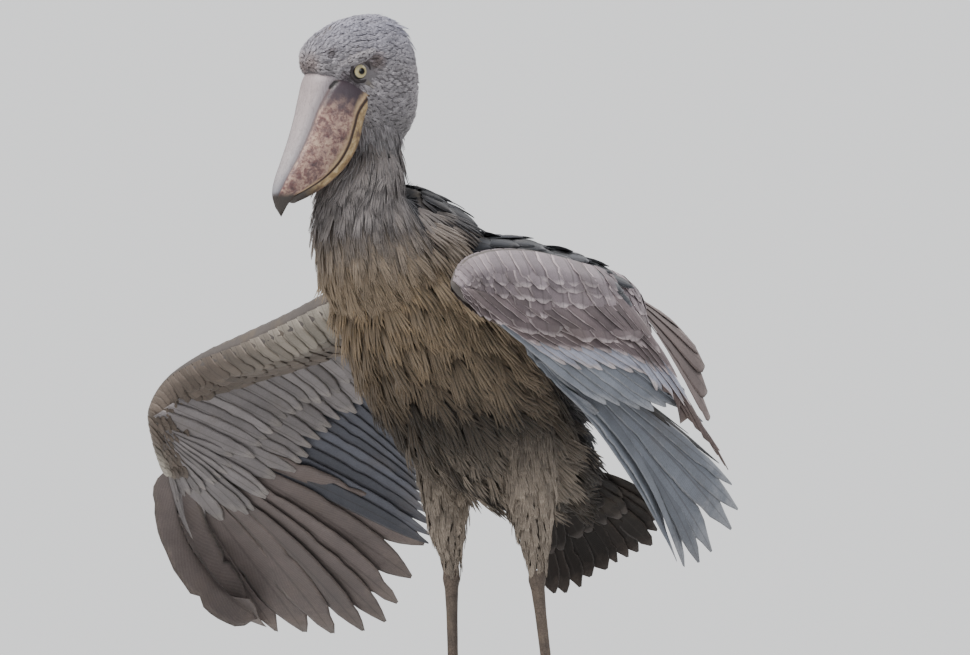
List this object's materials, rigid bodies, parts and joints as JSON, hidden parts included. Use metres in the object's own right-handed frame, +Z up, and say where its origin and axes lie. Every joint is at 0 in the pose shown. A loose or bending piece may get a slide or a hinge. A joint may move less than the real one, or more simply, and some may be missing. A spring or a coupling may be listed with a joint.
{
  "type": "life-size model of a standing shoebill",
  "caption": "Still, life-size shoebill standing with its wings half open and drooped, great hooked bill turned down.",
  "frame": {"origin": "middle of the sole of the left foot, on the floor", "axes": "+Z up; the bird's body faces -Y and its left side is +X"},
  "size_m": [0.9738, 0.781, 1.0703],
  "materials": {
    "body_plumage": "soft, layered grey-brown feathers stained golden brown",
    "head_plumage": "short, dense, pale blue-grey feathers",
    "eye": "wet, clear cornea over a pale yellow iris",
    "upper_bill": "satin horn, pinkish with dark mottling",
    "lower_bill": "satin horn, yellow-orange rim",
    "wing_feathers": "slate and mauve-brown vanes with pale fringes",
    "tail_feathers": "dark grey-brown vanes",
    "leg_plumage": "short grey-brown feathers with dried mud",
    "leg_skin": "fine scaly dark skin",
    "claw": "dark satin horn"
  },
  "bodies": {
    "root": {"torso": "body_plumage", "neck": "body_plumage", "head": "head_plumage", "left_eye": "eye", "right_eye": "eye", "upper_bill": "upper_bill", "lower_bill": "lower_bill", "right_wing": "wing_feathers", "right_hand": "wing_feathers", "left_wing": "wing_feathers", "left_hand": "wing_feathers", "tail": "tail_feathers", "left_thigh": "leg_plumage", "left_shank": "leg_skin", "left_foot": "leg_skin", "left_claw_inner": "claw", "left_claw_middle": "claw", "left_claw_outer": "claw", "left_claw_hind": "claw", "right_thigh": "leg_plumage", "right_shank": "leg_skin", "right_foot": "leg_skin", "right_claw_inner": "claw", "right_claw_middle": "claw", "right_claw_outer": "claw", "right_claw_hind": "claw"}
  },
  "joints": []
}
